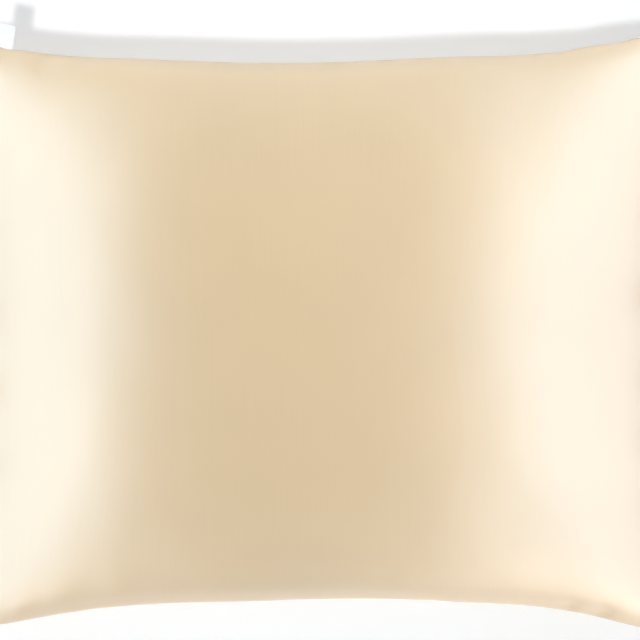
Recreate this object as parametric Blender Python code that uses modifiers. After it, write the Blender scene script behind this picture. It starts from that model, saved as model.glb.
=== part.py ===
"""A satin pillowcase filled by its bed pillow, lying on its back, with a folded label in its far seam.

Metres, +Z up. The origin is the middle of the flat patch that the case rests on. +X runs along
the long sides, and +Y points to the long seam that holds the label.
"""

import math
from collections import namedtuple

import bmesh
import bpy
from mathutils import Vector

# The empty case is two panels, cut to a standard size and sewn round their edge.
CASE_LENGTH = 0.660
CASE_WIDTH = 0.508

# Filled, its corners come in a little, and the seams between them much more.
CORNER_X = CASE_LENGTH / 2 - 0.0125
CORNER_Y = CASE_WIDTH / 2 - 0.0060
CROWN_HEIGHT = 0.178
SEAM_THICKNESS = 0.0016
CONTACT_GAIN = 1.32
UNDERSIDE_POWER = 1.55

# A higher crown power flattens the middle of a section, and a lower edge power rounds its sides.
LENGTHWISE_CROWN_POWER = 2.55
LENGTHWISE_EDGE_POWER = 0.74
CROSSWISE_CROWN_POWER = 2.35
CROSSWISE_EDGE_POWER = 0.55

# The turn, in radians, that a panel makes from its middle to its seam. It packs the mesh towards the seam.
PANEL_TURN = 1.08
COLUMNS = 58
ROWS = 42
ON_SEAM = 1e-5

Corner = namedtuple("Corner", "end side stretch_x stretch_y height")
CORNERS = (
    Corner(end=-1, side=1, stretch_x=0.000, stretch_y=-0.0070, height=0.059),
    Corner(end=1, side=1, stretch_x=0.002, stretch_y=-0.0020, height=0.064),
    Corner(end=-1, side=-1, stretch_x=-0.002, stretch_y=0.0045, height=0.062),
    Corner(end=1, side=-1, stretch_x=0.001, stretch_y=0.0105, height=0.057),
)

# draw_in is how far the middle of a seam comes in from the line between its corners, and lift how far it rises.
Seam = namedtuple("Seam", "draw_in power lift")
SEAMS = {
    "far": Seam(draw_in=0.0302, power=3.0, lift=0.017),
    "near": Seam(draw_in=0.0432, power=2.8, lift=0.014),
    "left": Seam(draw_in=0.0290, power=2.5, lift=0.012),
    "right": Seam(draw_in=0.0310, power=2.6, lift=0.015),
}

# Where a seam wavers off its smooth line. at and reach are shares of half its length.
Waver = namedtuple("Waver", "seam at reach out")
WAVERS = (
    Waver("far", -0.74, 0.15, -0.0035),
    Waver("far", -0.56, 0.15, -0.0022),
    Waver("far", -0.38, 0.15, -0.0009),
    Waver("far", -0.20, 0.15, -0.0026),
    Waver("far", -0.02, 0.15, -0.0028),
    Waver("far", 0.16, 0.15, -0.0015),
    Waver("far", 0.52, 0.15, -0.0028),
    Waver("near", -0.74, 0.15, -0.0003),
    Waver("near", -0.20, 0.15, 0.0011),
    Waver("near", -0.02, 0.15, -0.0009),
    Waver("near", 0.16, 0.15, -0.0018),
    Waver("near", 0.34, 0.15, -0.0007),
    Waver("near", 0.52, 0.15, -0.0031),
    Waver("near", 0.70, 0.15, -0.0031),
    Waver("left", 0.30, 0.20, 0.0016),
    Waver("left", -0.42, 0.18, -0.0014),
    Waver("right", 0.12, 0.20, -0.0016),
    Waver("right", -0.50, 0.16, 0.0014),
)

# Soft troughs where the cloth gathers at the seam. at runs from -1 to 1 along it. lean is in degrees from
# square to it, towards the middle of the case. face and back say which panels take the trough.
Pucker = namedtuple("Pucker", "seam at length lean depth width face back")
PUCKERS = (
    Pucker("near", 0.75, 0.045, 46, 0.0022, 0.013, True, True),
    Pucker("near", 0.88, 0.070, 40, 0.0030, 0.014, True, True),
    Pucker("near", 0.30, 0.050, 15, 0.0018, 0.015, False, True),
    Pucker("near", -0.10, 0.055, 5, 0.0020, 0.015, False, True),
    Pucker("near", -0.60, 0.055, 38, 0.0014, 0.015, True, True),
    Pucker("near", -0.73, 0.055, 42, 0.0018, 0.014, True, False),
    Pucker("near", -0.86, 0.085, 42, 0.0040, 0.014, True, True),
    Pucker("far", -0.88, 0.075, 40, 0.0038, 0.013, True, True),
    Pucker("far", -0.40, 0.055, 12, 0.0018, 0.015, False, True),
    Pucker("far", 0.15, 0.055, 5, 0.0020, 0.015, False, True),
    Pucker("far", 0.64, 0.060, 30, 0.0020, 0.014, False, True),
    Pucker("far", 0.88, 0.075, 40, 0.0036, 0.014, True, True),
    Pucker("left", 0.76, 0.095, 40, 0.0042, 0.014, True, True),
    Pucker("left", 0.36, 0.065, 16, 0.0028, 0.014, True, True),
    Pucker("left", -0.14, 0.070, 6, 0.0030, 0.015, True, True),
    Pucker("left", -0.52, 0.070, 24, 0.0030, 0.014, True, False),
    Pucker("left", -0.80, 0.095, 42, 0.0044, 0.014, True, True),
    Pucker("right", 0.78, 0.095, 42, 0.0044, 0.014, True, True),
    Pucker("right", 0.46, 0.070, 22, 0.0030, 0.014, True, False),
    Pucker("right", 0.08, 0.070, 5, 0.0030, 0.015, True, True),
    Pucker("right", -0.34, 0.065, 16, 0.0028, 0.014, True, True),
    Pucker("right", -0.76, 0.095, 40, 0.0044, 0.014, True, True),
)

# Broad rises and hollows in the filling.
Lump = namedtuple("Lump", "x y radius rise")
LUMPS = (
    Lump(x=-0.060, y=-0.095, radius=0.085, rise=-0.0026),
    Lump(x=0.105, y=0.020, radius=0.095, rise=0.0026),
    Lump(x=-0.150, y=0.070, radius=0.080, rise=0.0022),
    Lump(x=0.030, y=0.120, radius=0.070, rise=-0.0018),
)

# The label is a ribbon folded once, with both its ends in the seam. at is its place along the far seam.
LABEL_AT = -0.786
LABEL_WIDTH = 0.0162
LABEL_LENGTH = 0.0177
LABEL_PLY = 0.0010
LABEL_SPLIT = 0.0005
LABEL_LEAN = math.radians(5)
LABEL_DROOP = math.radians(9)
LABEL_CURL = 0.0012
LABEL_COLUMNS = 6
LABEL_FOLD_STEPS = 6
LABEL_RUN_STEPS = 6
PIECE_GAP = 0.0003


def clear_scene():
    for obj in list(bpy.data.objects):
        bpy.data.objects.remove(obj)


def material(name, colour, roughness):
    made = bpy.data.materials.new(name)
    made.use_nodes = True
    shader = made.node_tree.nodes["Principled BSDF"]
    shader.inputs["Base Color"].default_value = (*colour, 1.0)
    shader.inputs["Roughness"].default_value = roughness
    shader.inputs["Metallic"].default_value = 0.0
    return made


def spread(t):
    """Where a point at t of the flat half-panel lands across the filled one, both from -1 to 1."""
    return math.sin(PANEL_TURN * t) / math.sin(PANEL_TURN)


def seam_line(name, along):
    """How far a seam is in from the line between its corners, and how far above it."""
    seam = SEAMS[name]
    bow = 1 - abs(along) ** seam.power
    wavers = sum(
        w.out * math.exp(-(((along - w.at) / w.reach) ** 2)) for w in WAVERS if w.seam == name
    )
    return seam.draw_in * bow - wavers * (1 - along**8), seam.lift * bow


def ground_plan(a, b):
    """Where the panel point at a along and b across, each from -1 to 1, meets the seam's surface."""
    x, y, z = 0.0, 0.0, 0.0
    for corner in CORNERS:
        share = (1 + corner.end * a) / 2 * (1 + corner.side * b) / 2
        x += share * corner.end * (CORNER_X + corner.stretch_x)
        y += share * corner.side * (CORNER_Y + corner.stretch_y)
        z += share * corner.height
    for name, share, along, inward_x, inward_y in (
        ("right", (1 + a) / 2, b, -1, 0),
        ("left", (1 - a) / 2, b, 1, 0),
        ("far", (1 + b) / 2, a, 0, -1),
        ("near", (1 - b) / 2, a, 0, 1),
    ):
        draw, lift = seam_line(name, along)
        x += inward_x * share * draw
        y += inward_y * share * draw
        z += share * lift
    return Vector((x, y, z))


def fullness(a, b):
    """How full the case is at the panel point a along and b across, from 1 in its middle to 0 at the seams."""
    lengthwise = max(0.0, 1 - abs(a) ** LENGTHWISE_CROWN_POWER) ** LENGTHWISE_EDGE_POWER
    crosswise = max(0.0, 1 - abs(b) ** CROSSWISE_CROWN_POWER) ** CROSSWISE_EDGE_POWER
    return lengthwise * crosswise


def lumpiness(x, y):
    return sum(
        lump.rise * math.exp(-((x - lump.x) ** 2 + (y - lump.y) ** 2) / lump.radius**2)
        for lump in LUMPS
    )


def smooth_point(a, b, is_face):
    """A panel's point without its puckers."""
    point = ground_plan(a, b)
    full = fullness(a, b)
    if is_face:
        point.z += SEAM_THICKNESS / 2
        point.z += (CROWN_HEIGHT - point.z + lumpiness(point.x, point.y)) * full
    else:
        point.z -= SEAM_THICKNESS / 2
        point.z *= (1 - min(1.0, CONTACT_GAIN * full)) ** UNDERSIDE_POWER
    return point


def outward(a, b, is_face):
    """The panel's normal, from two short steps on the smooth form."""
    step = 0.01
    low_a, high_a = max(-1, a - step), min(1, a + step)
    low_b, high_b = max(-1, b - step), min(1, b + step)
    along = smooth_point(high_a, b, is_face) - smooth_point(low_a, b, is_face)
    other = smooth_point(a, high_b, is_face) - smooth_point(a, low_b, is_face)
    normal = along.cross(other).normalized()
    return normal if is_face else -normal


def pucker_lines():
    """Each pucker with its start on the seam and its direction into the case, seen from above."""
    lines = []
    for pucker in PUCKERS:
        towards_middle = -math.copysign(1, pucker.at)
        seam_place, inward, along = {
            "far": ((pucker.at, 1), Vector((0, -1)), Vector((1, 0))),
            "near": ((pucker.at, -1), Vector((0, 1)), Vector((1, 0))),
            "left": ((-1, pucker.at), Vector((1, 0)), Vector((0, 1))),
            "right": ((1, pucker.at), Vector((-1, 0)), Vector((0, 1))),
        }[pucker.seam]
        lean = math.radians(pucker.lean)
        run = inward * math.cos(lean) + along * (towards_middle * math.sin(lean))
        lines.append((pucker, ground_plan(*seam_place).xy, run))
    return lines


def trough_depth(lines, point, is_face):
    """How deep the puckers are over a point of the face or the back."""
    depth = 0.0
    for pucker, start, run in lines:
        if not (pucker.face if is_face else pucker.back):
            continue
        away = point.xy - start
        along = away.dot(run) / pucker.length
        if not 0 < along < 1:
            continue
        aside = (away.x * run.y - away.y * run.x) / pucker.width
        taper = math.sin(math.pi * math.sqrt(along)) ** 2
        depth += pucker.depth * taper * math.exp(-aside * aside)
    return depth


def panel_point(a, b, is_face, lines):
    point = smooth_point(a, b, is_face)
    if max(abs(a), abs(b)) > 1 - ON_SEAM or point.z <= 0:
        return point
    depth = trough_depth(lines, point, is_face)
    if depth > 0:
        point -= outward(a, b, is_face) * depth
        point.z = max(0.0, point.z)
    return point


def sewn_case():
    """Two panels laid face to back, joined by the seam's thin edge and filled."""
    lines = pucker_lines()
    bm = bmesh.new()
    face = bmesh.ops.create_grid(bm, x_segments=COLUMNS, y_segments=ROWS, size=1)["verts"]
    copied = bmesh.ops.duplicate(bm, geom=face + list(bm.edges) + list(bm.faces))["geom"]
    back = {item for item in copied if isinstance(item, bmesh.types.BMVert)}
    bmesh.ops.reverse_faces(bm, faces=[f for f in copied if isinstance(f, bmesh.types.BMFace)])
    for vert in bm.verts:
        vert.co = panel_point(spread(vert.co.x), spread(vert.co.y), vert not in back, lines)
    bmesh.ops.bridge_loops(bm, edges=[e for e in bm.edges if e.is_boundary])
    bmesh.ops.recalc_face_normals(bm, faces=list(bm.faces))
    return bm


def label_route():
    """The centreline of the folded ribbon, out from the seam and back, as (out, up) pairs."""
    radius = (LABEL_SPLIT + LABEL_PLY) / 2
    straight = LABEL_LENGTH - radius - LABEL_PLY / 2
    lower = [(straight * i / LABEL_RUN_STEPS, -radius) for i in range(LABEL_RUN_STEPS)]
    angles = [math.pi * i / LABEL_FOLD_STEPS for i in range(LABEL_FOLD_STEPS + 1)]
    fold = [(straight + radius * math.sin(t), -radius * math.cos(t)) for t in angles]
    upper = [(out, -up) for out, up in reversed(lower)]
    return lower + fold + upper


def folded_label():
    """The ribbon's middle surface, standing out of the far seam and drooping a little."""
    route = label_route()
    last = len(route) - 1
    root = ground_plan(LABEL_AT, 1)
    edge = (ground_plan(LABEL_AT + 0.02, 1) - ground_plan(LABEL_AT - 0.02, 1)).normalized()
    square = Vector((-edge.y, edge.x, 0)).normalized()
    away = square * math.cos(LABEL_LEAN) - edge * math.sin(LABEL_LEAN)
    bm = bmesh.new()
    bmesh.ops.create_grid(bm, x_segments=LABEL_COLUMNS, y_segments=last, size=1)
    for vert in bm.verts:
        share = vert.co.x
        out, up = route[round((vert.co.y + 1) / 2 * last)]
        reach = out / LABEL_LENGTH
        place = root + edge * (share * LABEL_WIDTH / 2)
        place += square * (PIECE_GAP + LABEL_PLY / 2)
        place += away * (out * math.cos(LABEL_DROOP))
        place.z += up - out * math.sin(LABEL_DROOP) + LABEL_CURL * (share * reach) ** 2
        vert.co = place
    return bm


def add_object(name, bm, finish, collection):
    mesh = bpy.data.meshes.new(name)
    bm.to_mesh(mesh)
    bm.free()
    mesh.materials.append(finish)
    mesh.shade_smooth()
    obj = bpy.data.objects.new(name, mesh)
    collection.objects.link(obj)
    return obj


def build():
    clear_scene()
    collection = bpy.data.collections.new("pillowcase")
    bpy.context.scene.collection.children.link(collection)
    satin = material("satin", (0.73, 0.55, 0.33), 0.46)
    ribbon = material("ribbon", (0.93, 0.93, 0.94), 0.45)
    add_object("filled_case", sewn_case(), satin, collection)
    label = add_object("label", folded_label(), ribbon, collection)
    ply = label.modifiers.new("ply", "SOLIDIFY")
    ply.thickness = LABEL_PLY
    ply.offset = 0.0


build()
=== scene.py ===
# A satin pillowcase filled by its bed pillow, lying on its back, with a bare label in its far seam.
import math

import bmesh
import bpy
import numpy as np
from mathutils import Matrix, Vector


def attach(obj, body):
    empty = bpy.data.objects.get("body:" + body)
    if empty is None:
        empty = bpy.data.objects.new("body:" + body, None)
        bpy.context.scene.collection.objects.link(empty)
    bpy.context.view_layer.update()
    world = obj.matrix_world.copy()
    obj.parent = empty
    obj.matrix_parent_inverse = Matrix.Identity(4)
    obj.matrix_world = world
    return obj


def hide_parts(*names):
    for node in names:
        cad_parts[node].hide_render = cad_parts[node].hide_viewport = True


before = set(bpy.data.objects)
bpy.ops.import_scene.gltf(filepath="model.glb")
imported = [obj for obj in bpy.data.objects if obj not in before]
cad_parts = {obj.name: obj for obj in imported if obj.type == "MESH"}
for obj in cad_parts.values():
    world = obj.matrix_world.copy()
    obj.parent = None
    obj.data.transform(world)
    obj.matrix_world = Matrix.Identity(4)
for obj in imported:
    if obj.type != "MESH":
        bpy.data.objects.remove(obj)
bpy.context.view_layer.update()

# the filled case, in metres. The seams' lines are as in the frame, so the outline stays true
case = {
    "cutLength": 0.660,
    "cutWidth": 0.508,
    "cornerX": 0.3175,  # half the filled length
    "cornerY": 0.248,  # half the filled width at the corners
    "crown": 0.176,  # height of the filled middle
    "lengthwise": (2.55, 0.74),  # the section's powers along the case
    "nearHalf": (2.40, 0.48),  # and across its two halves
    "farHalf": (2.35, 0.55),
    "contactGain": 1.32,  # how widely the underside lies flat
    "undersidePower": 1.55,  # how it rises from there to the seam
    "panelTurn": 0.75,  # packs the cloth's cells towards the seams
    "columns": 48,
    "rows": 38,
    "refinements": 2,
    "seamStarts": 0.99999,  # share of the half-panel past which a point is on its seam
    "mergeWithin": 1e-5,
}

# end, side, stretch along x, stretch along y, height of the seam
caseCorners = (
    (-1, 1, 0.000, -0.0070, 0.059),
    (1, 1, 0.002, -0.0020, 0.064),
    (-1, -1, -0.002, 0.0045, 0.062),
    (1, -1, 0.001, 0.0105, 0.057),
)

# how far the middle of each seam draws in, how sharply, and how far it lifts
caseSeams = {
    "far": {"drawIn": 0.0302, "power": 3.0, "lift": 0.017},
    "near": {"drawIn": 0.0432, "power": 2.8, "lift": 0.014},
    "left": {"drawIn": 0.0290, "power": 2.5, "lift": 0.012},
    "right": {"drawIn": 0.0310, "power": 2.6, "lift": 0.015},
}

# seam, place along it from -1 to 1, reach, and how far it wavers out
seamWavers = (
    ("far", -0.74, 0.15, -0.0035),
    ("far", -0.56, 0.15, -0.0022),
    ("far", -0.38, 0.15, -0.0009),
    ("far", -0.20, 0.15, -0.0026),
    ("far", -0.02, 0.15, -0.0028),
    ("far", 0.16, 0.15, -0.0015),
    ("far", 0.52, 0.15, -0.0028),
    ("near", -0.74, 0.15, -0.0003),
    ("near", -0.20, 0.15, 0.0011),
    ("near", -0.02, 0.15, -0.0009),
    ("near", 0.16, 0.15, -0.0018),
    ("near", 0.34, 0.15, -0.0007),
    ("near", 0.52, 0.15, -0.0031),
    ("near", 0.70, 0.15, -0.0031),
    ("left", 0.30, 0.20, 0.0016),
    ("left", -0.42, 0.18, -0.0014),
    ("right", 0.12, 0.20, -0.0016),
    ("right", -0.50, 0.16, 0.0014),
)

# x, y, radius and rise of the broad lumps in the filling
fillingLumps = (
    (-0.060, -0.095, 0.085, -0.0026),
    (0.105, 0.020, 0.095, 0.0026),
    (-0.150, 0.070, 0.080, 0.0022),
    (0.030, 0.120, 0.070, -0.0018),
)

# soft troughs where the cloth gathers at the seam: seam, place along it, length, lean in degrees towards
# the middle of the case, depth, width, and the panels that take it
puckers = (
    ("near", 0.625, 0.022, 50, 0.0022, 0.0055, "face"),
    ("near", 0.71, 0.023, 48, 0.0024, 0.0058, "face"),
    ("near", 0.81, 0.032, 44, 0.0010, 0.0080, "both"),
    ("near", 0.90, 0.065, 40, 0.0026, 0.0110, "both"),
    ("near", 0.30, 0.050, 15, 0.0016, 0.0130, "back"),
    ("near", -0.10, 0.055, 5, 0.0018, 0.0130, "back"),
    ("near", -0.46, 0.045, 25, 0.0005, 0.0120, "face"),
    ("near", -0.60, 0.055, 38, 0.0006, 0.0140, "both"),
    ("near", -0.73, 0.042, 44, 0.0006, 0.0120, "face"),
    ("near", -0.86, 0.062, 42, 0.0026, 0.0120, "both"),
    ("far", -0.90, 0.070, 40, 0.0034, 0.0110, "both"),
    ("far", -0.80, 0.042, 38, 0.0016, 0.0085, "both"),
    ("far", -0.69, 0.030, 30, 0.0014, 0.0075, "face"),
    ("far", -0.40, 0.055, 12, 0.0014, 0.0130, "back"),
    ("far", 0.15, 0.055, 5, 0.0016, 0.0130, "back"),
    ("far", 0.62, 0.060, 30, 0.0018, 0.0120, "back"),
    ("far", 0.76, 0.080, 36, 0.0026, 0.0110, "back"),
    ("far", 0.89, 0.070, 40, 0.0032, 0.0120, "both"),
    ("left", 0.86, 0.090, 44, 0.0034, 0.0100, "both"),
    ("left", 0.64, 0.080, 32, 0.0032, 0.0120, "both"),
    ("left", 0.36, 0.060, 16, 0.0024, 0.0120, "both"),
    ("left", 0.08, 0.060, 4, 0.0020, 0.0130, "face"),
    ("left", -0.18, 0.065, 8, 0.0026, 0.0120, "both"),
    ("left", -0.46, 0.070, 22, 0.0028, 0.0120, "both"),
    ("left", -0.68, 0.080, 34, 0.0032, 0.0110, "face"),
    ("left", -0.86, 0.095, 44, 0.0036, 0.0110, "both"),
    ("right", 0.87, 0.095, 44, 0.0036, 0.0110, "both"),
    ("right", 0.66, 0.080, 34, 0.0030, 0.0120, "face"),
    ("right", 0.44, 0.065, 20, 0.0028, 0.0120, "both"),
    ("right", 0.14, 0.065, 6, 0.0026, 0.0130, "both"),
    ("right", -0.12, 0.055, 5, 0.0020, 0.0120, "face"),
    ("right", -0.36, 0.065, 16, 0.0026, 0.0120, "both"),
    ("right", -0.62, 0.080, 32, 0.0032, 0.0120, "both"),
    ("right", -0.84, 0.095, 44, 0.0036, 0.0110, "both"),
)

# small gathers that the stitching leaves along every seam
gathers = {
    "depth": 0.00040,
    "spacing": 0.0130,
    "reach": 0.013,
    "drift": ((3.4, 23), (2.3, 61)),  # how much the spacing wanders, and how often
    "driftTurn": 2.1,  # sets opposite ends of the case apart
    "patches": ((17, 1.3), (41, 0.4)),  # how often the gathers come and go, and where that starts
    "least": 0.15,  # what is left of them in between
    "restsBelow": 0.0005,  # cloth this low lies flat and takes none
}


def addPiece(name, data):
    piece = bpy.data.objects.new(name, data)
    bpy.context.scene.collection.objects.link(piece)
    return piece


def flatSquare(name, size):
    mesh = bpy.data.meshes.new(name)
    bm = bmesh.new()
    bmesh.ops.create_grid(bm, x_segments=1, y_segments=1, size=size)
    bm.to_mesh(mesh)
    bm.free()
    return addPiece(name, mesh)


def spread(t):
    # evens out the cloth's cells over the filled form, which is steep at its seams
    return np.sin(case["panelTurn"] * t) / math.sin(case["panelTurn"])


def seamLine(name, along):
    # how far a seam draws in and lifts at a place along it
    seam = caseSeams[name]
    bow = 1 - np.abs(along) ** seam["power"]
    waver = sum(
        out * np.exp(-(((along - at) / reach) ** 2))
        for seamName, at, reach, out in seamWavers
        if seamName == name
    )
    return seam["drawIn"] * bow - waver * (1 - along**8), seam["lift"] * bow


def groundPlan(a, b):
    # where the panel point at a along and b across, from -1 to 1, meets the seam's surface
    x, y, z = np.zeros_like(a), np.zeros_like(a), np.zeros_like(a)
    for end, side, stretchX, stretchY, height in caseCorners:
        share = (1 + end * a) / 2 * (1 + side * b) / 2
        x += share * end * (case["cornerX"] + stretchX)
        y += share * side * (case["cornerY"] + stretchY)
        z += share * height
    for name, share, along, inwardX, inwardY in (
        ("right", (1 + a) / 2, b, -1, 0),
        ("left", (1 - a) / 2, b, 1, 0),
        ("far", (1 + b) / 2, a, 0, -1),
        ("near", (1 - b) / 2, a, 0, 1),
    ):
        draw, lift = seamLine(name, along)
        x += inwardX * share * draw
        y += inwardY * share * draw
        z += share * lift
    return x, y, z


def acrossPanel(t, powers):
    # a higher first power flattens the middle of a section, and a lower second power rounds its sides
    return np.clip(1 - np.abs(t) ** powers[0], 0, 1) ** powers[1]


def filledForm(a, b, isFace):
    x, y, seamHeight = groundPlan(a, b)
    crosswise = np.where(b < 0, acrossPanel(b, case["nearHalf"]), acrossPanel(b, case["farHalf"]))
    full = acrossPanel(a, case["lengthwise"]) * crosswise
    lumps = sum(
        rise * np.exp(-((x - lumpX) ** 2 + (y - lumpY) ** 2) / radius**2)
        for lumpX, lumpY, radius, rise in fillingLumps
    )
    face = seamHeight + (case["crown"] - seamHeight + lumps) * full
    emptiness = 1 - np.clip(case["contactGain"] * full, 0, 1)
    back = seamHeight * emptiness ** case["undersidePower"]
    return np.stack([x, y, np.where(isFace, face, back)], axis=1)


def isRim(vert):
    return max(abs(vert.co.x), abs(vert.co.y)) > case["seamStarts"]


def sewnPanels():
    # two flat panels, one over the other, joined along their creased edge. Their UV map is the cut
    # pattern in metres
    bm = bmesh.new()
    bmesh.ops.create_grid(bm, x_segments=case["columns"], y_segments=case["rows"], size=1)
    copied = bmesh.ops.duplicate(bm, geom=bm.verts[:] + bm.edges[:] + bm.faces[:])["geom"]
    backVerts = [item for item in copied if isinstance(item, bmesh.types.BMVert)]
    backFaces = [item for item in copied if isinstance(item, bmesh.types.BMFace)]
    bmesh.ops.reverse_faces(bm, faces=backFaces)
    pattern = bm.loops.layers.uv.new("cutPattern")
    for cloth in bm.faces:
        for loop in cloth.loops:
            u, v = loop.vert.co.x * case["cutLength"] / 2, loop.vert.co.y * case["cutWidth"] / 2
            loop[pattern].uv = (u, v)
    for vert in backVerts:
        vert.co.z = -1
    rim = [vert for vert in bm.verts if isRim(vert)]
    for vert in rim:
        vert.co.z = 0
    bmesh.ops.remove_doubles(bm, verts=rim, dist=case["mergeWithin"])
    crease = bm.edges.layers.float.new("crease_edge")
    for edge in bm.edges:
        if all(isRim(vert) for vert in edge.verts):
            edge[crease] = 1
    mesh = bpy.data.meshes.new("filledCase")
    bm.to_mesh(mesh)
    bm.free()
    return mesh


def puckerDepth(x, y, isFace):
    # how deep all the puckers together are over a place on one panel
    depth = np.zeros_like(x)
    for seam, at, length, lean, deep, width, panels in puckers:
        place, inward, along = {
            "far": ((at, 1), (0, -1), (1, 0)),
            "near": ((at, -1), (0, 1), (1, 0)),
            "left": ((-1, at), (1, 0), (0, 1)),
            "right": ((1, at), (-1, 0), (0, 1)),
        }[seam]
        startX, startY, _ = groundPlan(*(np.array([float(share)]) for share in place))
        turn = math.radians(lean)
        towardsMiddle = -math.copysign(math.sin(turn), at)
        runX = inward[0] * math.cos(turn) + along[0] * towardsMiddle
        runY = inward[1] * math.cos(turn) + along[1] * towardsMiddle
        awayX, awayY = x - startX, y - startY
        reach = np.clip((awayX * runX + awayY * runY) / length, 0, 1)
        aside = (awayX * runY - awayY * runX) / width
        taper = np.sin(np.pi * np.sqrt(reach)) ** 2
        shows = {"face": isFace, "back": ~isFace, "both": True}[panels]
        depth += deep * taper * np.exp(-(aside**2)) * shows
    return depth


def gatherDepth(u, v):
    # ripples square to the seams, fading into the panel. Their spacing drifts so that it looks sewn
    (wide, slow), (narrow, quick) = gathers["drift"]
    (pace, start), (secondPace, secondStart) = gathers["patches"]
    depth = np.zeros_like(u)
    for along, toSeam in (
        (u, case["cutWidth"] / 2 - np.abs(v)),
        (v, case["cutLength"] / 2 - np.abs(u)),
    ):
        turn = gathers["driftTurn"] * np.sign(u + v)
        drift = wide * np.sin(along * slow + turn) + narrow * np.sin(along * quick)
        patch = np.sin(along * pace + start) ** 2 * np.sin(along * secondPace + secondStart) ** 2
        strength = gathers["least"] + patch
        ripple = strength * (0.5 + 0.5 * np.cos(2 * np.pi * along / gathers["spacing"] + drift))
        fade = toSeam / gathers["reach"]
        depth += gathers["depth"] * ripple * fade * np.exp(1 - fade) * np.exp(-fade)
    return depth


def readPoints(mesh):
    points = np.empty(len(mesh.vertices) * 3, dtype=np.float32)
    mesh.vertices.foreach_get("co", points)
    return points.reshape(-1, 3).astype(float)


def writePoints(mesh, points):
    mesh.vertices.foreach_set("co", points.astype(np.float32).ravel())
    mesh.update()


# how the cloth settles over the filling
clothRun = {
    "frames": 50,
    "quality": 6,
    "pressure": 20,
    "vertexMass": 0.02,
    "thickness": 0.0005,
    "restsBelow": 0.0003,  # cloth this low stays on the surface under it
    "stretch": 15,
    "shear": 5,
    "bending": 0.6,
    "cutShare": 0.99,  # the pattern's share that isn't taken up by gathering
    "cap": 0.010,  # the furthest that a point may move
    "evening": 6,  # passes that even out the movement, as a heavy satin does
    "share": 0.6,  # how much of it is kept
}


def evenOut(moved, mesh, pinned, passes):
    # each point's movement drifts towards its neighbours' movement
    ends = np.empty(len(mesh.edges) * 2, dtype=np.int32)
    mesh.edges.foreach_get("vertices", ends)
    start, end = ends.reshape(-1, 2).T
    for _ in range(passes):
        around = np.zeros_like(moved)
        count = np.zeros((len(moved), 1))
        for here, there in ((start, end), (end, start)):
            np.add.at(around, here, moved[there])
            np.add.at(count, here, 1)
        moved = (moved + around / count) / 2
        moved[pinned] = 0
    return moved


def filledVolume(mesh, points):
    bm = bmesh.new()
    bm.from_mesh(mesh)
    for vert, place in zip(bm.verts, points):
        vert.co = place
    volume = bm.calc_volume()
    bm.free()
    return volume


def addCloth(piece, flatPoints, seamPoints):
    # the cut panels as the cloth's shape at rest, held along the seam and blown up to the filling's volume
    start = readPoints(piece.data)
    piece.shape_key_add(name="cut")
    keys = piece.data.shape_keys.key_blocks
    keys["cut"].data.foreach_set("co", flatPoints.astype(np.float32).ravel())
    filled = piece.shape_key_add(name="filled")
    filled.data.foreach_set("co", start.astype(np.float32).ravel())
    filled.value = 1
    seam = piece.vertex_groups.new(name="seam")
    seam.add([int(i) for i in seamPoints], 1.0, "REPLACE")
    cloth = piece.modifiers.new("Cloth", "CLOTH")
    run = cloth.settings
    run.quality = clothRun["quality"]
    run.mass = clothRun["vertexMass"]
    run.tension_stiffness = clothRun["stretch"]
    run.compression_stiffness = clothRun["stretch"]
    run.shear_stiffness = clothRun["shear"]
    run.bending_stiffness = clothRun["bending"]
    run.vertex_group_mass = "seam"
    run.rest_shape_key = keys["cut"]
    run.use_pressure = True
    run.use_pressure_volume = True
    run.uniform_pressure_force = 0
    run.pressure_factor = clothRun["pressure"]
    run.target_volume = filledVolume(piece.data, start)
    run.effector_weights.gravity = 0
    cloth.collision_settings.distance_min = clothRun["thickness"]
    cloth.point_cache.frame_end = clothRun["frames"]
    return cloth


def keptMovement(piece, moved, seamPoints):
    # an even share of the movement, capped so that no point strays
    moved = evenOut(moved, piece.data, seamPoints, clothRun["evening"]) * clothRun["share"]
    far = np.linalg.norm(moved, axis=1, keepdims=True)
    most, typical = round(float(far.max()) * 1000, 1), round(float(np.median(far)) * 1000, 1)
    print("cloth moved at most", most, "mm, typically", typical)
    return moved * clothRun["cap"] * np.tanh(far / clothRun["cap"]) / np.maximum(far, 1e-9)


def settleCloth(piece, flatPoints, seamPoints):
    scene = bpy.context.scene
    start = readPoints(piece.data)
    resting = start[:, 2] < clothRun["restsBelow"]
    board = flatSquare("settlingBoard", 1)
    board.modifiers.new("Collision", "COLLISION")
    board.collision.thickness_outer = clothRun["thickness"]
    cloth = addCloth(piece, flatPoints, seamPoints)
    for step in range(1, clothRun["frames"] + 1):
        scene.frame_set(step)
    settled = piece.evaluated_get(bpy.context.evaluated_depsgraph_get()).to_mesh()
    moved = readPoints(settled) - start
    moved[resting, 2] = 0
    kept = start + keptMovement(piece, moved, seamPoints)
    kept[:, 2] = np.maximum(kept[:, 2], 0)
    kept[resting, 2] = 0
    piece.modifiers.remove(cloth)
    piece.shape_key_clear()
    piece.vertex_groups.clear()
    writePoints(piece.data, kept)
    scene.frame_set(1)
    bpy.data.objects.remove(board)


def refineCloth(piece):
    # smooths the cloth between its cells, with a crisp line at the seam
    finer = piece.modifiers.new("Subdivision", "SUBSURF")
    finer.levels = finer.render_levels = case["refinements"]
    finer.uv_smooth = "NONE"
    fine = bpy.data.meshes.new_from_object(piece.evaluated_get(bpy.context.evaluated_depsgraph_get()))
    piece.modifiers.remove(finer)
    fine.name = "filledCaseCloth"
    piece.data = fine


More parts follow.
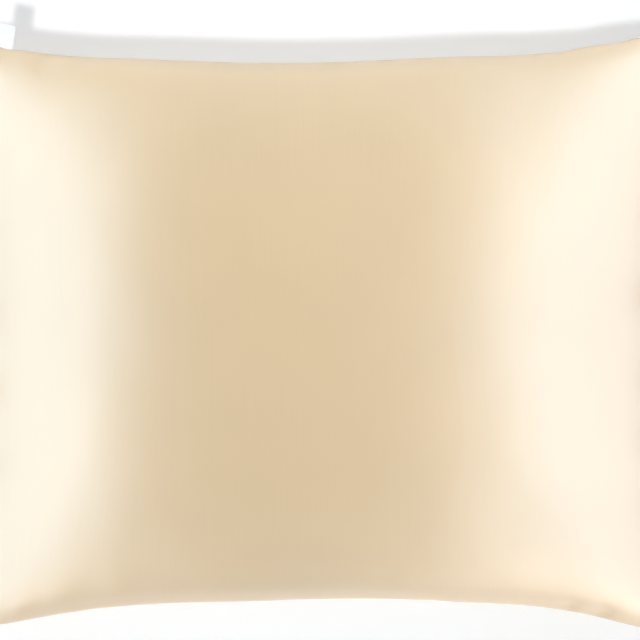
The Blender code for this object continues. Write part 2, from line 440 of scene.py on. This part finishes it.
def gatherCloth(mesh):
    # puckers and gathers, pressed in along the cloth's normals
    points = readPoints(mesh)
    corners = np.empty(len(mesh.loops), dtype=np.int32)
    mesh.loops.foreach_get("vertex_index", corners)
    pattern = np.empty(len(mesh.loops) * 2, dtype=np.float32)
    mesh.uv_layers["cutPattern"].data.foreach_get("uv", pattern)
    flat = np.zeros((len(points), 2))
    flat[corners] = pattern.reshape(-1, 2)
    u, v = flat[:, 0], flat[:, 1]
    a, b = spread(2 * u / case["cutLength"]), spread(2 * v / case["cutWidth"])
    isFace = points[:, 2] >= groundPlan(a, b)[2]
    normals = np.empty(len(points) * 3, dtype=np.float32)
    mesh.vertex_normals.foreach_get("vector", normals)
    depth = puckerDepth(points[:, 0], points[:, 1], isFace) + gatherDepth(u, v)
    depth[points[:, 2] < gathers["restsBelow"]] = 0
    points -= normals.reshape(-1, 3) * depth[:, None]
    points[:, 2] = np.maximum(points[:, 2], 0)
    writePoints(mesh, points)


def makeFilledCase():
    mesh = sewnPanels()
    flat = readPoints(mesh)
    isFace = flat[:, 2] >= 0
    onSeam = np.where(np.max(np.abs(flat[:, :2]), axis=1) > case["seamStarts"])[0]
    a, b = spread(flat[:, 0]), spread(flat[:, 1])
    writePoints(mesh, filledForm(a, b, isFace))
    piece = addPiece("filledCase", mesh)
    cut = flat * np.array([case["cutLength"] / 2, case["cutWidth"] / 2, 0]) * clothRun["cutShare"]
    settleCloth(piece, cut, onSeam)
    refineCloth(piece)
    gatherCloth(piece.data)
    piece.data.shade_smooth()
    return piece


filledCase = makeFilledCase()
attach(filledCase, "root")
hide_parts("filled_case")
print("filled case made")


# the bare ribbon label, folded in half with its ends caught in the far seam
ribbonLabel = {
    "at": -0.786,  # along the far seam, from -1 to 1
    "width": 0.0162,
    "length": 0.0177,
    "thickness": 0.00030,
    "split": 0.0009,  # between the two halves
    "lean": math.radians(5),
    "droop": math.radians(9),
    "curl": 0.0012,
    "rounding": 0.0011,  # of the corners at the fold
    "tuck": 0.0016,  # how far its ends reach into the seam
    "pinch": 0.35,  # how much of the split is left where the seam holds it
    "seamStep": 0.02,  # along the seam each way, to find its direction
    "columns": 14,
    "straightRows": 12,
    "foldRows": 10,
}


def labelRoute():
    # the middle of the folded ribbon as seen from its side: how far out from the seam, and how far up
    radius = ribbonLabel["split"] / 2
    straight = ribbonLabel["length"] - radius
    rows = ribbonLabel["straightRows"]
    lower = [(straight * row / rows, -1) for row in range(rows)]
    turns = [math.pi * row / ribbonLabel["foldRows"] for row in range(ribbonLabel["foldRows"] + 1)]
    fold = [(straight + radius * math.sin(turn), -math.cos(turn)) for turn in turns]
    upper = [(out, 1) for out, _ in reversed(lower)]
    route = [(out - ribbonLabel["tuck"] * (1 - out / straight), up) for out, up in lower + fold + upper]
    pinch = ribbonLabel["pinch"]
    opened = [pinch + (1 - pinch) * min(1, max(0, out) / straight) for out, _ in route]
    return [(out, up * radius * share) for (out, up), share in zip(route, opened)]


def seamPlace(along):
    x, y, z = groundPlan(np.array([along]), np.array([1.0]))
    return Vector((x[0], y[0], z[0]))


def makeLabel():
    route = labelRoute()
    last = len(route) - 1
    at, step = ribbonLabel["at"], ribbonLabel["seamStep"]
    root = seamPlace(at)
    edge = (seamPlace(at + step) - seamPlace(at - step)).normalized()
    square = Vector((-edge.y, edge.x, 0)).normalized()
    away = square * math.cos(ribbonLabel["lean"]) - edge * math.sin(ribbonLabel["lean"])
    walked = [0.0]
    for (out, up), (nextOut, nextUp) in zip(route, route[1:]):
        walked.append(walked[-1] + math.hypot(nextOut - out, nextUp - up))
    halfWidth = ribbonLabel["width"] / 2
    bm = bmesh.new()
    bmesh.ops.create_grid(bm, x_segments=ribbonLabel["columns"], y_segments=last, size=1)
    along = bm.loops.layers.uv.new("ribbonRun")
    for woven in bm.faces:
        for loop in woven.loops:
            row = round((loop.vert.co.y + 1) / 2 * last)
            loop[along].uv = (walked[row], loop.vert.co.x * halfWidth)
    for vert in bm.verts:
        share = vert.co.x
        out, up = route[round((vert.co.y + 1) / 2 * last)]
        reach = max(0, out) / ribbonLabel["length"]
        out -= ribbonLabel["rounding"] * abs(share) ** 8 * reach**6
        place = root + edge * (share * halfWidth) + away * (out * math.cos(ribbonLabel["droop"]))
        lift = ribbonLabel["curl"] * (share * reach) ** 2
        place.z += up - out * math.sin(ribbonLabel["droop"]) + lift
        vert.co = place
    bmesh.ops.recalc_face_normals(bm, faces=bm.faces[:])
    mesh = bpy.data.meshes.new("ribbonLabel")
    bm.to_mesh(mesh)
    bm.free()
    piece = addPiece("ribbonLabel", mesh)
    ply = piece.modifiers.new("Solidify", "SOLIDIFY")
    ply.thickness = ribbonLabel["thickness"]
    ply.offset = 0
    piece.data.shade_smooth()
    return piece


label = makeLabel()
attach(label, "root")
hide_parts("label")
print("label made")


def newMaterial(name):
    made = bpy.data.materials.new(name)
    made.use_nodes = True
    tree = made.node_tree
    return made, tree, tree.nodes["Principled BSDF"]


def addMath(tree, operation, *terms):
    node = tree.nodes.new("ShaderNodeMath")
    node.operation = operation
    for socket, term in zip(node.inputs, terms):
        if isinstance(term, (int, float)):
            socket.default_value = term
        else:
            tree.links.new(term, socket)
    return node.outputs[0]


def addNoise(tree, place, stretch, detail, shift=(0, 0)):
    # noise over a flat place in metres, with so many lumps to the metre each way
    scaled = tree.nodes.new("ShaderNodeVectorMath")
    scaled.operation = "MULTIPLY_ADD"
    scaled.inputs[1].default_value = (*stretch, 1)
    scaled.inputs[2].default_value = (*shift, 0)
    tree.links.new(place, scaled.inputs[0])
    noise = tree.nodes.new("ShaderNodeTexNoise")
    noise.inputs["Scale"].default_value = 1
    noise.inputs["Detail"].default_value = detail
    tree.links.new(scaled.outputs[0], noise.inputs["Vector"])
    return noise.outputs[0]


# how every woven cloth here is bound
weave = {
    "stagger": 0.4,  # of a float, from one thread to the next
    "binding": 6,  # how sharply a float dips under its crossing thread
    "softness": 0.4,  # of the dip's shoulders
    "streaks": (700, 9),  # to the metre, along the floats and across them
}


def makeThreadsGroup():
    # a satin weave on a place in metres: long floats along the first axis, each bound down under a
    # crossing thread
    group = bpy.data.node_groups.new("wovenThreads", "ShaderNodeTree")
    face = group.interface
    face.new_socket("Place", in_out="INPUT", socket_type="NodeSocketVector")
    for name in ("Threads", "Floats", "Streaks"):
        face.new_socket(name, in_out="INPUT", socket_type="NodeSocketFloat")
    face.new_socket("Height", in_out="OUTPUT", socket_type="NodeSocketFloat")
    face.new_socket("Streak", in_out="OUTPUT", socket_type="NodeSocketFloat")
    given = group.nodes.new("NodeGroupInput").outputs
    result = group.nodes.new("NodeGroupOutput").inputs
    split = group.nodes.new("ShaderNodeSeparateXYZ")
    group.links.new(given["Place"], split.inputs[0])
    across = addMath(group, "MULTIPLY", split.outputs[1], given["Threads"])
    row = addMath(group, "FLOOR", across)
    within = addMath(group, "SUBTRACT", across, row)
    roundness = addMath(group, "SINE", addMath(group, "MULTIPLY", within, math.pi))
    run = addMath(group, "MULTIPLY", split.outputs[0], given["Floats"])
    shifted = addMath(group, "ADD", run, addMath(group, "MULTIPLY", row, weave["stagger"]))
    staggered = addMath(group, "FRACT", shifted)
    fromBinding = addMath(group, "ABSOLUTE", addMath(group, "SUBTRACT", staggered, 0.5))
    rise = addMath(group, "MULTIPLY", fromBinding, weave["binding"])
    bound = addMath(group, "SMOOTH_MIN", rise, 1, weave["softness"])
    group.links.new(addMath(group, "MULTIPLY", roundness, bound), result["Height"])
    streak = addNoise(group, given["Place"], weave["streaks"], 2)
    even = addMath(group, "SUBTRACT", streak, 0.5)
    group.links.new(addMath(group, "MULTIPLY", even, given["Streaks"]), result["Streak"])
    return group


threads = makeThreadsGroup()


def addThreads(tree, place, perMetre, floats, streaks):
    woven = tree.nodes.new("ShaderNodeGroup")
    woven.node_tree = threads
    tree.links.new(place, woven.inputs["Place"])
    woven.inputs["Threads"].default_value = perMetre
    woven.inputs["Floats"].default_value = floats
    woven.inputs["Streaks"].default_value = streaks
    return woven.outputs


def addPattern(tree, uvMap):
    # a piece's flat pattern in metres
    pattern = tree.nodes.new("ShaderNodeUVMap")
    pattern.uv_map = uvMap
    return pattern.outputs[0]


def addTint(tree, color, brightness):
    # a colour made lighter or darker by a value about nought
    tint = tree.nodes.new("ShaderNodeVectorMath")
    tint.operation = "SCALE"
    tint.inputs[0].default_value = color
    tree.links.new(addMath(tree, "ADD", brightness, 1), tint.inputs["Scale"])
    return tint.outputs[0]


def addBump(tree, shader, height, distance, under=None):
    bump = tree.nodes.new("ShaderNodeBump")
    bump.inputs["Strength"].default_value = 1
    bump.inputs["Distance"].default_value = distance
    tree.links.new(height, bump.inputs["Height"])
    if under:
        tree.links.new(under, bump.inputs["Normal"])
    tree.links.new(bump.outputs[0], shader.inputs["Normal"])
    return bump.outputs[0]


# champagne satin: a tight weave whose floats run along the case
satin = {
    "base": (0.732, 0.552, 0.324),
    "roughness": 0.46,
    "ior": 1.75,
    "anisotropy": 0.7,
    "anisotropyTurn": 0.25,  # lays the sheen across the floats
    "sheen": 0.65,
    "sheenTint": (1, 0.82, 0.66),
    "threads": 2600,  # to the metre
    "floats": 420,
    "threadHeight": 0.000008,
    "streaks": 0.035,
    "paintedShade": 0.17,  # broad painted shade: its darker patches stand for the shade of dents in the filling
    "cloudSize": (7, 6),  # to the metre
    "cloudShift": (12.8, 24.8),  # slides the painted shade so that its darker patches lie where the filling's dents leave shade
    "cloudSheen": -0.10,  # the cloth is a little glossier where the painted shade is lighter
    "creaseSize": (26, 17),  # to the metre
    "creaseHeight": 0.0003,
}


def makeSatin():
    made, tree, shader = newMaterial("champagneSatin")
    shader.inputs["IOR"].default_value = satin["ior"]
    shader.inputs["Anisotropic"].default_value = satin["anisotropy"]
    shader.inputs["Anisotropic Rotation"].default_value = satin["anisotropyTurn"]
    shader.inputs["Sheen Weight"].default_value = satin["sheen"]
    shader.inputs["Sheen Tint"].default_value = (*satin["sheenTint"], 1)
    tangent = tree.nodes.new("ShaderNodeTangent")
    tangent.direction_type = "UV_MAP"
    tangent.uv_map = "cutPattern"
    tree.links.new(tangent.outputs[0], shader.inputs["Tangent"])
    place = addPattern(tree, "cutPattern")
    woven = addThreads(tree, place, satin["threads"], satin["floats"], satin["streaks"])
    # painted shade: a broad noise over the cloth's colour, placed so that it darkens where dents in the
    # filling shade it
    paintedShadeNoise = addNoise(tree, place, satin["cloudSize"], 2, satin["cloudShift"])
    cloud = addMath(tree, "SUBTRACT", paintedShadeNoise, 0.5)
    shade = addMath(tree, "MULTIPLY_ADD", cloud, satin["paintedShade"], woven["Streak"])
    tree.links.new(addTint(tree, satin["base"], shade), shader.inputs["Base Color"])
    dullness = addMath(tree, "MULTIPLY_ADD", cloud, satin["cloudSheen"], satin["roughness"])
    tree.links.new(dullness, shader.inputs["Roughness"])
    creases = addNoise(tree, place, satin["creaseSize"], 3)
    ripples = addBump(tree, shader, creases, satin["creaseHeight"])
    addBump(tree, shader, woven["Height"], satin["threadHeight"], under=ripples)
    return made


# white taffeta ribbon with a firm selvedge
ribbon = {
    "base": (0.93, 0.93, 0.94),
    "roughness": 0.45,
    "sheen": 0.2,
    "threads": 4200,
    "floats": 2100,
    "threadHeight": 0.00005,
    "streaks": 0.06,
    "selvedge": 0.0007,
    "selvedgeShade": -0.04,
    "selvedgeDullness": 0.15,
    "selvedgeHeight": 0.8,  # of a thread's
}


def makeRibbon():
    made, tree, shader = newMaterial("whiteRibbon")
    shader.inputs["Sheen Weight"].default_value = ribbon["sheen"]
    place = addPattern(tree, "ribbonRun")
    woven = addThreads(tree, place, ribbon["threads"], ribbon["floats"], ribbon["streaks"])
    split = tree.nodes.new("ShaderNodeSeparateXYZ")
    tree.links.new(place, split.inputs[0])
    fromMiddle = addMath(tree, "ABSOLUTE", split.outputs[1])
    toEdge = addMath(tree, "SUBTRACT", ribbonLabel["width"] / 2, fromMiddle)
    inEdge = addMath(tree, "LESS_THAN", toEdge, ribbon["selvedge"])
    shade = addMath(tree, "MULTIPLY_ADD", inEdge, ribbon["selvedgeShade"], woven["Streak"])
    tree.links.new(addTint(tree, ribbon["base"], shade), shader.inputs["Base Color"])
    dullness = addMath(tree, "MULTIPLY_ADD", inEdge, ribbon["selvedgeDullness"], ribbon["roughness"])
    tree.links.new(dullness, shader.inputs["Roughness"])
    height = addMath(tree, "MULTIPLY_ADD", inEdge, ribbon["selvedgeHeight"], woven["Height"])
    addBump(tree, shader, height, ribbon["threadHeight"])
    return made


filledCase.data.materials.append(makeSatin())
label.data.materials.append(makeRibbon())
print("materials made")


# the camera looks straight down on the case, over a pale floor that glows a little
studio = {
    "frameWidth": 0.502,  # what the camera spans at the height of the seams
    "cameraHeight": 2.6,
    "seamHeight": 0.075,
    "aimX": 0.0,
    "aimY": 0.008,
    "clipEnd": 20,
    "floorSize": 6,  # from its middle to its edge
    "floorColor": (0.89, 0.93, 0.985),
    "floorRoughness": 0.9,
    "floorGlow": 0.150,
    "worldColor": (0.975, 1.0, 1.03),
    "worldStrength": 0.468,
}

coolLight, warmLight = (0.55, 0.755, 1.0), (1.0, 0.93, 0.92)
creamLight, amberLight = (1.0, 0.88, 0.70), (1.0, 0.30, 0.0)
middle = (0, 0, 0.08)

# boxes that only show as sheen on the satin: name, place, what they face, size, radiance and colour
sheenBoxes = (
    ("leftBox", (-1.15, -0.4, 0.68), (0, -0.4, 0.08), (6.0, 1.3), 5.9, coolLight),
    ("rightBox", (1.05, -0.6, 0.68), (0, -0.6, 0.08), (9.0, 1.3), 5.95, coolLight),
    ("rightEdgeBox", (0.68, 0.0, 1.53), middle, (3.0, 1.0), 1.6, warmLight),
    ("rightCornerBox", (0.57, -1.6, 0.35), (0.17, -0.2, 0.08), (0.32, 0.7), 11.6, warmLight),
    ("leftCornerBox", (-0.62, -1.6, 0.35), (-0.17, -0.2, 0.08), (0.32, 0.7), 6.4, warmLight),
    ("nearCard", (0.215, -0.50, 0.012), (0.205, -0.23, 0.085), (0.28, 0.26), 3.6, creamLight),
    ("rightRimBox", (1.15, -0.3, 0.45), (0, -0.3, 0.08), (6.0, 0.9), 1.1, amberLight),
    ("farBox", (0.7, 1.6, 0.25), (0.25, 0.25, 0.08), (0.8, 0.4), 3.8, coolLight),
)

# lamps that leave no sheen: name, place, what they face, size, watts and colour
softLamps = (
    ("key", (-0.58, -0.60, 2.55), middle, (0.24, 0.24), 28.1, (1.0, 0.985, 0.94)),
    ("fill", (0, 1.9, 0.55), middle, (2.4, 0.6), 15.5, (0.95, 0.98, 1.0)),
)


def makeFloor():
    floor = flatSquare("floor", studio["floorSize"])
    made, _, shader = newMaterial("paleFloor")
    shader.inputs["Base Color"].default_value = (*studio["floorColor"], 1)
    shader.inputs["Roughness"].default_value = studio["floorRoughness"]
    shader.inputs["Specular IOR Level"].default_value = 0
    shader.inputs["Emission Color"].default_value = (1, 1, 1, 1)
    shader.inputs["Emission Strength"].default_value = studio["floorGlow"]
    floor.data.materials.append(made)


def areaLight(name, place, target, size, watts, color):
    data = bpy.data.lights.new(name, "AREA")
    data.shape = "RECTANGLE"
    data.size, data.size_y = size
    data.energy = watts
    data.color = color
    light = addPiece(name, data)
    light.location = place
    light.rotation_euler = (Vector(target) - Vector(place)).to_track_quat("-Z", "Y").to_euler()
    light.visible_camera = False
    return light


def lightStudio():
    for name, place, target, size, radiance, color in sheenBoxes:
        watts = radiance * math.pi * size[0] * size[1]
        areaLight(name, place, target, size, watts, color).visible_diffuse = False
    for name, place, target, size, watts, color in softLamps:
        areaLight(name, place, target, size, watts, color).visible_glossy = False
    world = bpy.data.worlds.new("studio")
    bpy.context.scene.world = world
    world.use_nodes = True
    background = world.node_tree.nodes["Background"].inputs
    background["Color"].default_value = (*studio["worldColor"], 1)
    background["Strength"].default_value = studio["worldStrength"]


def placeCamera():
    lens = bpy.data.cameras.new("camera")
    camera = addPiece("camera", lens)
    camera.location = (studio["aimX"], studio["aimY"], studio["cameraHeight"])
    lens.lens = lens.sensor_width * (studio["cameraHeight"] - studio["seamHeight"]) / studio["frameWidth"]
    lens.clip_end = studio["clipEnd"]
    bpy.context.scene.camera = camera


makeFloor()
lightStudio()
placeCamera()
bpy.context.scene.view_settings.view_transform = "Standard"
print("studio ready")
